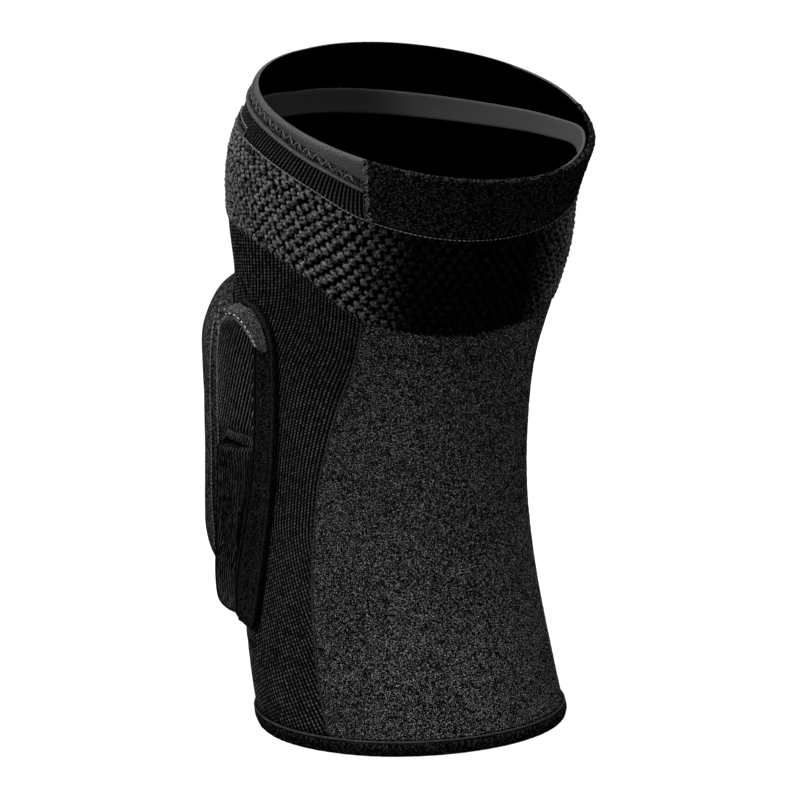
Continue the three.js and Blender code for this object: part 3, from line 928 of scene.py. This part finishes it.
def lay_grip(round_, turn):
    angle = 360 * round_
    low = edge(GRIP, angle)
    corner = np.array([0, 0.06, 0.44, 0.5, 0.56, 0.94, 1.0])
    top = GRIP_HEIGHT - GRIP_ROUND
    rise = np.interp(turn, corner, [0, GRIP_ROUND, top, GRIP_HEIGHT, GRIP_HEIGHT, 0, 0])
    rim = -GRIP_WALL + GRIP_ROUND
    out = np.interp(turn, corner, [rim, -GRIP_WALL, -GRIP_WALL, rim, 0, 0, rim])
    return on_leg(angle, low + rise, GRIP_FACE + out)


grip_shape = lay_cloth(160, 24, lay_grip, lambda round_, turn: (round_ * 400, turn * 20))
close_shape(grip_shape)
make_piece("silicone_grip", grip_shape, [grip_silicone], ["grip_strip"])

# The lower end is bound with a folded strip of the pile knit. A corded ridge marks its upper edge, and
# upright stitches hold it through all layers.
HEM_PROUD = 0.8
HEM_INSIDE = -2.6
HEM_GAP = 0.2
HEM_GIRTH = 404
HEM_NAP = 0.12
HEM_BULGE = 0.5
HEM_CORD, HEM_CORD_DOWN, HEM_CORD_OUT = 0.5, 0.3, 0.75
HEM_STITCH_PITCH, HEM_STITCH_DOWN, HEM_STITCH_OUT = 2.6, 2.2, 1.15
HEM_STITCH = (2.0, 0.4, 0.4)
hem_pile = pile_material("hem_pile", 0.0005, 0.045, 1500, 0.4, depth=2.2)
hem_dice = np.random.default_rng(5)


def lay_hem(round_, turn):
    angle = 360 * round_
    low, high = edge(HEM, angle), edge(HEM, angle) + HEM_HEIGHT - HEM_GAP
    height, out = folded(turn, -high, -low, HEM_INSIDE, HEM_PROUD)
    nap = hem_dice.uniform(-HEM_NAP, HEM_NAP, len(round_))
    nap = np.where((round_ < 0.001) | (round_ > 0.999) | (turn < 0.002) | (turn > 0.94), 0, nap)
    bulge = HEM_BULGE * np.sin(np.pi * np.clip(turn / FACE_END, 0, 1))
    bulge = np.where(turn < FACE_END, bulge, 0)
    return on_leg(angle, -height, out + bulge + nap)


hem_shape = lay_cloth(300, 40, lay_hem, lambda round_, turn: (round_ * 330, turn * 20))
close_shape(hem_shape)
hem = make_piece("lower_binding", hem_shape, [hem_pile], ["bottom_hem"])

cord_height = edge(HEM, ring_angle) + HEM_HEIGHT - HEM_CORD_DOWN
centre, _, _, outward = leg_axes(ring_angle, cord_height, HEM_CORD_OUT)
hem_shapes = [roll_along(centre, outward, HEM_CORD, closed=True)]
hem_angle = np.arange(0, 360, 360 * HEM_STITCH_PITCH / HEM_GIRTH)
stitch_height = edge(HEM, hem_angle) + HEM_HEIGHT - HEM_STITCH_DOWN
centre, _, upward, outward = leg_axes(hem_angle, stitch_height, HEM_STITCH_OUT)
hem_shapes.append(scatter(centre, upward, outward, HEM_STITCH))
hem_cord = make_piece("lower_binding_cord", join_shapes(hem_shapes), [seam_yarn])

# A small bare tab of the binding elastic is folded double and caught in the seam above the bubble knit,
# beside the knee pad. Its three free edges are overcast with bright thread.
TAB_FROM, TAB_TO, TAB_HEIGHT, TAB_WALL = 38, 60, 3.5, 0.7
TAB_GAP, TAB_OUT, TAB_PUFF = 0.2, 0.65, 0.25
TAB_ROLL, TAB_ROLL_OUT = 0.3, 0.7


def lay_tab(round_, up):
    angle = TAB_FROM + (TAB_TO - TAB_FROM) * round_
    to_edge = np.maximum(np.abs(2 * round_ - 1), np.abs(2 * up - 1))
    puff = TAB_PUFF * np.sqrt(np.clip(1 - to_edge ** 6, 0, 1))
    return on_leg(angle, edge(SEAM, angle) + TAB_GAP + TAB_HEIGHT * up, TAB_OUT + puff)


tab_shape = lay_cloth(24, 10, lay_tab, lambda round_, up: (round_ * 17, up * 6))
make_piece(
    "seam_tab_bare", tab_shape, [brushed_elastic], ["seam_tab"], TAB_WALL * 0.001)
along_top = np.linspace(TAB_FROM, TAB_TO, 12)[1:-1]
rim_angle = np.concatenate([np.full(6, TAB_FROM), along_top, np.full(6, TAB_TO)])
rim_up = np.concatenate([np.linspace(0.1, 1, 6), np.ones(10), np.linspace(1, 0.1, 6)])
rim_height = edge(SEAM, rim_angle) + TAB_GAP + TAB_HEIGHT * rim_up
centre, _, _, outward = leg_axes(rim_angle, rim_height, TAB_ROLL_OUT)
make_piece("seam_tab_edge", roll_along(centre, outward, TAB_ROLL), [zigzag_yarn])

# The knee pad is a crowned block of foam under a smooth knitted cover, blown up tight by the foam. The
# cover is a front panel and a side band, joined by two lines of stitching, and is sewn to the ribbed knit.
# Height, half angle and thickness of the pad
FRONT_PAD = np.array([
    (-74, 30, 4.5), (-68, 39, 9.2), (-55, 48, 13.8), (-35, 54.5, 15.9), (-10, 58, 15.8),
    (15, 58.5, 15.6), (36, 57, 13.8), (45, 52, 11), (51.5, 43, 7.5), (55.5, 31, 4)], dtype=float)
PAD_FOOT = 0.7
PAD_START = 1.05
PAD_DOME = 0.1
PAD_CROWD = 0.999
PAD_DEGREE = 1.25
PAD_EDGE = 0.3
PAD_PRESSURE = 4.0
PAD_SWELL = 2.5
SWELL_FRAMES = 20
PAD_SIDE_ROUND = 6.0
PAD_END_ROUND = 5.0
PAD_SEAMS = (0.7, 0.82)
PAD_SEAM_TOP, PAD_SEAM_LOW = 50, -66
PAD_SEAM_DEPTH, PAD_CREASE_DEPTH, PAD_CREASE_DOWN = 0.9, 0.5, 0.07
PAD_STITCH_PITCH = 1.9
PAD_STITCH = (1.9, 0.65, 0.7)
smooth_cover = pile_material("smooth_cover", 0.003, 0.15, 1800, 0.2, depth=1.4, roughness=0.85)
pad_yarn = pile_material("pad_yarn", 0.08, 0.4, 2600, 0.1, depth=0.8, roughness=0.8)


def lay_pad(columns, rows, cover, foot):
    """A closed pad drawn up from its flat foot, with low walls all round, and its sewn points."""
    pad = bmesh.new()
    bmesh.ops.create_grid(pad, x_segments=columns, y_segments=rows, size=0.5)
    drawn = bmesh.ops.extrude_face_region(pad, geom=pad.faces[:], use_keep_orig=True)["geom"]
    upper = {item for item in drawn if isinstance(item, bmesh.types.BMVert)}
    flat = np.array([vert.co[:2] for vert in pad.verts]) + 0.5
    raised = np.array([vert in upper for vert in pad.verts])
    points = np.where(raised[:, None], cover(flat[:, 0], flat[:, 1]), foot(flat[:, 0], flat[:, 1]))
    for vert, point in zip(pad.verts, points.tolist()):
        vert.co = point
    bmesh.ops.recalc_face_normals(pad, faces=pad.faces)
    border = np.any((flat < 1e-4) | (flat > 1 - 1e-4), axis=1)
    return pad, [int(k) for k in np.nonzero(border | ~raised)[0]]


def swell(shape, sewn, pressure, most_mm, levels):
    """Blows a cover up over its foam with its sewn points held, then rounds it off."""
    mesh = bpy.data.meshes.new("cover")
    shape.to_mesh(mesh)
    shape.free()
    cover = bpy.data.objects.new("cover", mesh)
    bpy.context.collection.objects.link(cover)
    cover.vertex_groups.new(name="sewn").add(sewn, 1.0, "REPLACE")
    cloth = cover.modifiers.new("cloth", "CLOTH")
    cloth.settings.quality = 6
    cloth.settings.mass = 0.002
    cloth.settings.use_pressure = True
    cloth.settings.uniform_pressure_force = pressure
    cloth.settings.effector_weights.gravity = 0
    cloth.settings.vertex_group_mass = "sewn"
    cloth.point_cache.frame_start = 1
    cloth.point_cache.frame_end = SWELL_FRAMES
    start = np.empty(len(mesh.vertices) * 3)
    mesh.vertices.foreach_get("co", start)
    for number in range(1, SWELL_FRAMES + 1):
        bpy.context.scene.frame_set(number)
    blown = np.empty(len(mesh.vertices) * 3)
    puffed_up = cover.evaluated_get(bpy.context.evaluated_depsgraph_get())
    puffed_up.data.vertices.foreach_get("co", blown)
    move = (blown - start).reshape(-1, 3)
    length = np.maximum(np.linalg.norm(move, axis=1, keepdims=True), 1e-9)
    move *= np.minimum(1, most_mm * 0.001 / length)
    mesh.vertices.foreach_set("co", start + move.ravel())
    cover.modifiers.remove(cloth)
    bpy.context.scene.frame_set(1)
    rounding = cover.modifiers.new("rounding", "SUBSURF")
    rounding.levels = rounding.render_levels = levels
    finished = bmesh.new()
    finished.from_object(cover, bpy.context.evaluated_depsgraph_get())
    bpy.data.objects.remove(cover)
    bpy.data.meshes.remove(mesh)
    finished.normal_update()
    return finished


def leg_place(points):
    """The angle, height and stand-out in mm of points near the leg."""
    x, y, z = (points * 1000).T
    height = z.copy()
    for _ in range(6):
        lift = np.radians(along(LEG, 4, height))
        height = z + (y - along(LEG, 1, height)) * np.tan(lift)
    back = (y - along(LEG, 1, height)) / np.cos(lift)
    width, depth = along(LEG, 3, height), along(LEG, 2, height)
    out = np.zeros_like(x)
    for _ in range(6):
        turn = np.arctan2(x / (width + out), -back / (depth + out))
        out = np.hypot(x, back) - np.hypot(width * np.sin(turn), depth * np.cos(turn))
    return np.degrees(turn), height, out


def press_pad(shape, depth):
    """Presses a pad's skin in by depth(angle, height, out) in mm, along its own normals."""
    points = np.array([vert.co for vert in shape.verts])
    for vert, mm in zip(shape.verts, depth(*leg_place(points)).tolist()):
        vert.co -= vert.normal * mm * 0.001
    shape.normal_update()


def thread_pad(shape, counts):
    """Writes the thread counts of a pad's cover from counts(angle, height)."""
    angle, height, _ = leg_place(np.array([vert.co for vert in shape.verts]))
    layer = shape.loops.layers.uv.new("threads")
    for vert, count in zip(shape.verts, np.stack(counts(angle, height), axis=-1).tolist()):
        for loop in vert.link_loops:
            loop[layer].uv = count


def quarter_round(distance, radius):
    return np.sqrt(np.clip(1 - (1 - np.clip(distance / radius, 0, 1)) ** 2, 0, 1))


def crowded_height(table, up):
    """Heights from the bottom to the top of a pad's table, closer together at its ends."""
    return table[0, 0] + (table[-1, 0] - table[0, 0]) * (1 - np.cos(np.pi * up)) / 2


def pad_place(round_, up):
    height = crowded_height(FRONT_PAD, up)
    side = np.sin(np.pi / 2 * (2 * round_ - 1) * PAD_CROWD) / math.sin(math.pi / 2 * PAD_CROWD)
    half = along(FRONT_PAD, 1, height)
    return side, half, height


def pad_cover(round_, up):
    side, half, height = pad_place(round_, up)
    thick = along(FRONT_PAD, 2, height) * PAD_START * (1 - PAD_DOME * side ** 4)
    rise = quarter_round((1 - np.abs(side)) * half * PAD_DEGREE + 0.1, PAD_SIDE_ROUND)
    end = np.minimum(height - FRONT_PAD[0, 0], FRONT_PAD[-1, 0] - height)
    rise = rise * quarter_round(end + 0.1, PAD_END_ROUND)
    return on_leg(side * half, height, PAD_FOOT + np.maximum((thick - PAD_FOOT) * rise, PAD_EDGE))


def pad_foot(round_, up):
    side, half, height = pad_place(round_, up)
    return on_leg(side * half, height, PAD_FOOT + 0 * side)


def pad_seam_depth(angle, height, out):
    share = out / along(FRONT_PAD, 2, height)
    at_side = smooth_step((np.abs(angle) / along(FRONT_PAD, 1, height) - 0.7) / 0.12)
    held = at_side * smooth_step((PAD_SEAM_TOP - height) / 6)
    seam = PAD_SEAM_DEPTH * bell((share - sum(PAD_SEAMS) / 2) / 0.03)
    crease = PAD_CREASE_DEPTH * bell((share - PAD_SEAMS[0] + PAD_CREASE_DOWN) / 0.04)
    return held * (seam + crease)


pad_shape, pad_sewn = lay_pad(34, 34, pad_cover, pad_foot)
pad_shape = swell(pad_shape, pad_sewn, PAD_PRESSURE, PAD_SWELL, 2)
press_pad(pad_shape, pad_seam_depth)
thread_pad(pad_shape, lambda angle, height: (angle * 1.2, height))
pad_surface = BVHTree.FromBMesh(pad_shape)
knee_pad = make_piece("knee_pad", pad_shape, [smooth_cover], ["front_pad"])


def stitches_on(surface, points, size_mm):
    """A row of stitches along a line of points, each dropped onto the surface under it."""
    found = [surface.find_nearest(Vector(point)) for point in points]
    places = np.array([hit[0] for hit in found])
    outward = np.array([hit[1] for hit in found])
    ahead = np.gradient(places, axis=0)
    ahead -= outward * np.sum(ahead * outward, axis=1, keepdims=True)
    ahead /= np.linalg.norm(ahead, axis=1, keepdims=True)
    return scatter(places, ahead, outward, size_mm)


pad_stitch_shapes = []
for side in (1, -1):
    for line in PAD_SEAMS:
        stitch_height = np.arange(PAD_SEAM_LOW, PAD_SEAM_TOP, PAD_STITCH_PITCH)
        stitch_out = line * along(FRONT_PAD, 2, stitch_height)
        rows = on_leg(side * (along(FRONT_PAD, 1, stitch_height) + 1), stitch_height, stitch_out)
        pad_stitch_shapes.append(stitches_on(pad_surface, rows, PAD_STITCH))
make_piece("knee_pad_stitches", join_shapes(pad_stitch_shapes), [pad_yarn])

# Each side pad is a flat bound base of covered foam with three puffed pieces sewn on it: a smooth cap that
# bends down behind the upper of two ribbed cells, and a low ribbed roll in the groove between the cells.
# A piping follows the base's edge, and cords lie along the cap's seam and behind the cells.
# Height, front angle, rear angle, rear angle of the cells, crown
SIDE_PAD = np.array([
    (-81, 50.5, 69, 58, 9), (-77, 47.5, 71.5, 58.3, 10.5), (-68, 48.5, 74.5, 60, 11.5),
    (-50, 54, 79.5, 67, 12), (-25, 58.5, 84.5, 75, 12), (0, 60.5, 87.5, 79.5, 12),
    (20, 61.5, 88.5, 80.5, 11.8), (42, 62.5, 87.5, 80.5, 11.5), (50, 64.5, 85, 80, 11),
    (55.5, 67, 81, 79, 10.5), (58, 70, 77, 76, 10)], dtype=float)
FRONT, REAR, CELL, CROWN = 1, 2, 3, 4
BASE_FOOT, BASE_TOP = 0.7, 4.5
# Millimetres to a degree round the leg, on the base, the cells and the cap's seam
BASE_DEGREE, CELL_DEGREE, CAP_DEGREE = 1.1, 1.12, 1.15
CELL_PRESSURE, CELL_SWELL, CELL_EDGE = 4.0, 1.3, 0.7
CELL_INSET = 1.0
GROOVE_MIDDLE, GROOVE_HALF = -0.5, 3.2
CELL_BOTTOM = -79
CAP_FRONT, CAP_REAR, CAP_TOP, CAP_CROWN = 52, 40.5, 57, 12
BEND_START, BEND_END, BEND_POWER, CAP_REACH = 0.45, 1.1, 2.6, 1.4
CELL_RIBS = 16
CELL_STITCH = 2.1
CELL_LEAN, LEAN_BOTTOM = 0.16, -5
PLAIN_THREADS = 12
RIB_PUFF = 0.4
SEAM_HALF = 0.25
CELL_GAP, GROOVE_GAP, GROOVE_START = 0.4, 0.9, 0.16
PIPING, CELL_CORD, CAP_CORD = 0.75, 0.45, 0.36
PIPING_DOWN, CELL_CORD_UP = 1.3, 0.75
CAP_CORD_OUT, CAP_STITCH_OUT, CAP_STITCH_UP = 9.0, 10.0, 1.9
CAP_STITCH_PITCH = 2.3
CAP_STITCH = (1.5, 0.6, 0.7)
base_cover = pile_material("base_cover", 0.0006, 0.06, 1800, 0.35, depth=1.6)
cap_cover = pile_material("cap_cover", 0.006, 0.22, 2000, 0.2, depth=1.1, roughness=0.85)
cap_yarn = pile_material("cap_yarn", 0.3, 0.75, 2600, 0.1, depth=0.6, roughness=0.7)
cell_rib = rib_material("cell_rib", 0.0002, 0.36, 0.5, slack=0.25, dash=0.25, uneven=0.4, sharp=4.5)
pad_piping = pile_material("pad_piping", 0.004, 0.05, 2600, 0.1, depth=0.9, roughness=0.8)


def pad_column(column, height):
    return along(SIDE_PAD, column, height)


def cap_seam(share):
    bend = np.clip((share - BEND_START) / (BEND_END - BEND_START), 0, 1)
    return CAP_FRONT + (CAP_REAR - CAP_FRONT) * bend ** BEND_POWER


def level(height):
    """An end of a puffed piece that stays at one height."""
    return lambda across: height + 0 * across


def wedge(across, width, fall):
    """How far a puffed piece stands up across its width: steep at the front, falling off to the rear."""
    return quarter_round(across * width + 0.4, 4.2) * np.maximum(1 - across ** fall, 0.12)


def make_side_pad(side, word):
    def across_of(round_):
        return round_ if side > 0 else 1 - round_

    def base_place(round_, up):
        height = crowded_height(SIDE_PAD, up)
        across = across_of(round_)
        front, rear = pad_column(FRONT, height), pad_column(REAR, height)
        return front + (rear - front) * across, height, across, (rear - front) * BASE_DEGREE

    def base_skin(round_, up):
        angle, height, across, width = base_place(round_, up)
        from_end = np.minimum(height - SIDE_PAD[0, 0], SIDE_PAD[-1, 0] - height)
        inset = np.minimum(np.minimum(across, 1 - across) * width, from_end * 2)
        cell_rear = pad_column(CELL, height)
        behind = (angle - cell_rear) / (pad_column(REAR, height) - cell_rear)
        soft = smooth_step((46 - height) / 8)
        roll = soft * (0.8 * bell((behind - 0.26) / 0.2) - 1.3 * bell((behind - 0.54) / 0.09))
        rise = quarter_round(inset + 0.25, 1.9)
        return on_leg(side * angle, height, BASE_FOOT + (BASE_TOP - BASE_FOOT + roll) * rise)

    def base_foot(round_, up):
        angle, height, _, _ = base_place(round_, up)
        return on_leg(side * angle, height, BASE_FOOT + 0 * angle)

    base_shape, _ = lay_pad(48, 90, base_skin, base_foot)
    thread_pad(base_shape, lambda angle, height: (angle, height))
    base = make_piece(
        f"side_base_{word}", base_shape, [base_cover], [f"side_pad_base_{word}"])

    def puffed(name, nodes, material, low, high, rear_column, stand, columns, rows, ribs, start=0.0):
        """A puffed piece sewn on the base, blown up over its foam, with its ribs raised afterwards."""
        def spot(round_, up):
            across = start + (1 - start) * across_of(round_)
            bottom, top = low(across), high(across)
            height = bottom + (top - bottom) * up
            front = pad_column(FRONT, height) + CELL_INSET
            rear = pad_column(rear_column, height) - CELL_INSET
            width = (rear - front) * CELL_DEGREE
            return across, front + (rear - front) * across, height, width, top - bottom

        def cover(round_, up):
            across, angle, height, width, length = spot(round_, up)
            rise = stand(across, height, width, up * length, (1 - up) * length)
            return on_leg(side * angle, height, BASE_TOP + np.maximum(rise, CELL_EDGE))

        def under(round_, up):
            _, angle, height, _, _ = spot(round_, up)
            return on_leg(side * angle, height, BASE_TOP + 0 * angle)

        def rib_count(angle, height):
            front = pad_column(FRONT, height) + CELL_INSET
            rear = pad_column(rear_column, height) - CELL_INSET
            share = (np.abs(angle) - front) / (rear - front)
            return share * max(ribs, PLAIN_THREADS) - CELL_LEAN * np.maximum(height, LEAN_BOTTOM)

        def rib_depth(angle, height, out):
            raised = smooth_step((out - BASE_TOP - 0.3) / 0.8)
            return -RIB_PUFF * raised * np.cos(2 * np.pi * rib_count(angle, height))

        shape, sewn = lay_pad(columns, rows, cover, under)
        shape = swell(shape, sewn, CELL_PRESSURE, CELL_SWELL, 2)
        if ribs:
            press_pad(shape, rib_depth)
        thread_pad(shape, lambda angle, height: (rib_count(angle, height), height / CELL_STITCH))
        surface = BVHTree.FromBMesh(shape)
        piece = make_piece(name, shape, [material], nodes)
        return surface

    def cell_stand(across, height, width, from_low, from_high):
        return (pad_column(CROWN, height) + 1.0 - BASE_TOP) * wedge(across, width, 1.8)

    def upper_stand(across, height, width, from_low, from_high):
        ends = (1 - 0.25 * bell(from_high / 1.2)) * quarter_round(from_low + 0.6, 3.0)
        return cell_stand(across, height, width, from_low, from_high) * ends

    def lower_stand(across, height, width, from_low, from_high):
        ends = quarter_round(from_high + 0.6, 3.0) * quarter_round(from_low + 0.4, 6.0)
        return cell_stand(across, height, width, from_low, from_high) * ends

    def groove_stand(across, height, width, from_low, from_high):
        ends = quarter_round(np.minimum(from_low, from_high) + 0.3, 2.2)
        return 0.5 * cell_stand(across, height, width, from_low, from_high) * ends

    def cap_stand(across, height, width, from_low, from_high):
        ends = (1 - 0.2 * bell(from_low / 1.0)) * quarter_round(from_high + 0.3, 4.6)
        tail = 1 - 0.45 * smooth_step((across - 0.5) / 0.4)
        return (CAP_CROWN + 0.8 - BASE_TOP) * wedge(across, width, 1.35) * ends * tail

    cap_surface = puffed(
        f"side_cap_{word}", [f"side_pad_cap_{word}"], cap_cover,
        lambda across: cap_seam(CAP_REACH * across) + SEAM_HALF, level(CAP_TOP),
        REAR, cap_stand, 22, 10, 0)
    puffed(f"side_upper_cell_{word}", [f"side_pad_upper_{word}"], cell_rib,
           level(GROOVE_MIDDLE + GROOVE_HALF - CELL_GAP), lambda across: cap_seam(across) - SEAM_HALF,
           CELL, upper_stand, CELL_RIBS, 26, CELL_RIBS)
    puffed(f"side_lower_cell_{word}", [f"side_pad_lower_{word}"], cell_rib,
           level(CELL_BOTTOM), level(GROOVE_MIDDLE - GROOVE_HALF + CELL_GAP),
           CELL, lower_stand, CELL_RIBS, 38, CELL_RIBS)
    puffed(f"side_groove_roll_{word}", [], cell_rib,
           level(GROOVE_MIDDLE - GROOVE_HALF + GROOVE_GAP),
           level(GROOVE_MIDDLE + GROOVE_HALF - GROOVE_GAP),
           CELL, groove_stand, CELL_RIBS, 6, CELL_RIBS, GROOVE_START)

    height = crowded_height(SIDE_PAD, np.linspace(0, 1, 90))
    front_run, rear_run = pad_column(FRONT, height) + 0.6, pad_column(REAR, height) - 0.2
    over_top = np.linspace(front_run[-1], rear_run[-1], 8)[1:-1]
    under_end = np.linspace(rear_run[0], front_run[0], 12)[1:-1]
    loop_angle = np.concatenate([front_run, over_top, rear_run[::-1], under_end])
    loop_height = np.concatenate([
        height, np.full(over_top.size, height[-1]), height[::-1], np.full(under_end.size, height[0])])
    centre, _, _, outward = leg_axes(side * loop_angle, loop_height, BASE_TOP - PIPING_DOWN)
    trims = [roll_along(centre, outward, PIPING, closed=True)]
    height = np.linspace(CELL_BOTTOM + 1, float(cap_seam(1.0)), 70)
    cord_angle = side * (pad_column(CELL, height) - 0.3)
    centre, _, _, outward = leg_axes(cord_angle, height, BASE_TOP + CELL_CORD_UP)
    trims.append(roll_along(centre, outward, CELL_CORD))
    make_piece(f"side_piping_{word}", join_shapes(trims), [pad_piping])

    share = np.linspace(0.06, 1.12, 60)
    height = cap_seam(share)
    front, rear = pad_column(FRONT, height) + CELL_INSET, pad_column(CELL, height) - CELL_INSET
    angle = front + (rear - front) * share
    run = np.stack([angle * CAP_DEGREE, height], axis=1)
    run_way = np.gradient(run, axis=0)
    run_way /= np.linalg.norm(run_way, axis=1, keepdims=True)
    upper_side = run + CAP_STITCH_UP * np.stack([-run_way[:, 1], run_way[:, 0]], axis=1)
    over_seam, _, _, seam_out = leg_axes(side * angle, height, CAP_CORD_OUT)
    seam_points = np.array([cap_surface.find_nearest(Vector(point))[0] for point in over_seam])
    seam_roll = roll_along(seam_points + 0.0002 * seam_out, seam_out, CAP_CORD)
    make_piece(f"side_cap_cord_{word}", seam_roll, [zigzag_yarn])
    length = np.concatenate([[0], np.cumsum(np.linalg.norm(np.diff(upper_side, axis=0), axis=1))])
    at = np.arange(1.0, length[-1] - 0.5, CAP_STITCH_PITCH)
    dash_angle = np.interp(at, length, upper_side[:, 0]) / CAP_DEGREE
    dash_height = np.interp(at, length, upper_side[:, 1])
    dash_line = on_leg(side * dash_angle, dash_height, CAP_STITCH_OUT)
    dashes = stitches_on(cap_surface, dash_line, CAP_STITCH)
    make_piece(f"side_cap_stitches_{word}", dashes, [cap_yarn])


for side, word in ((1, "left"), (-1, "right")):
    make_side_pad(side, word)
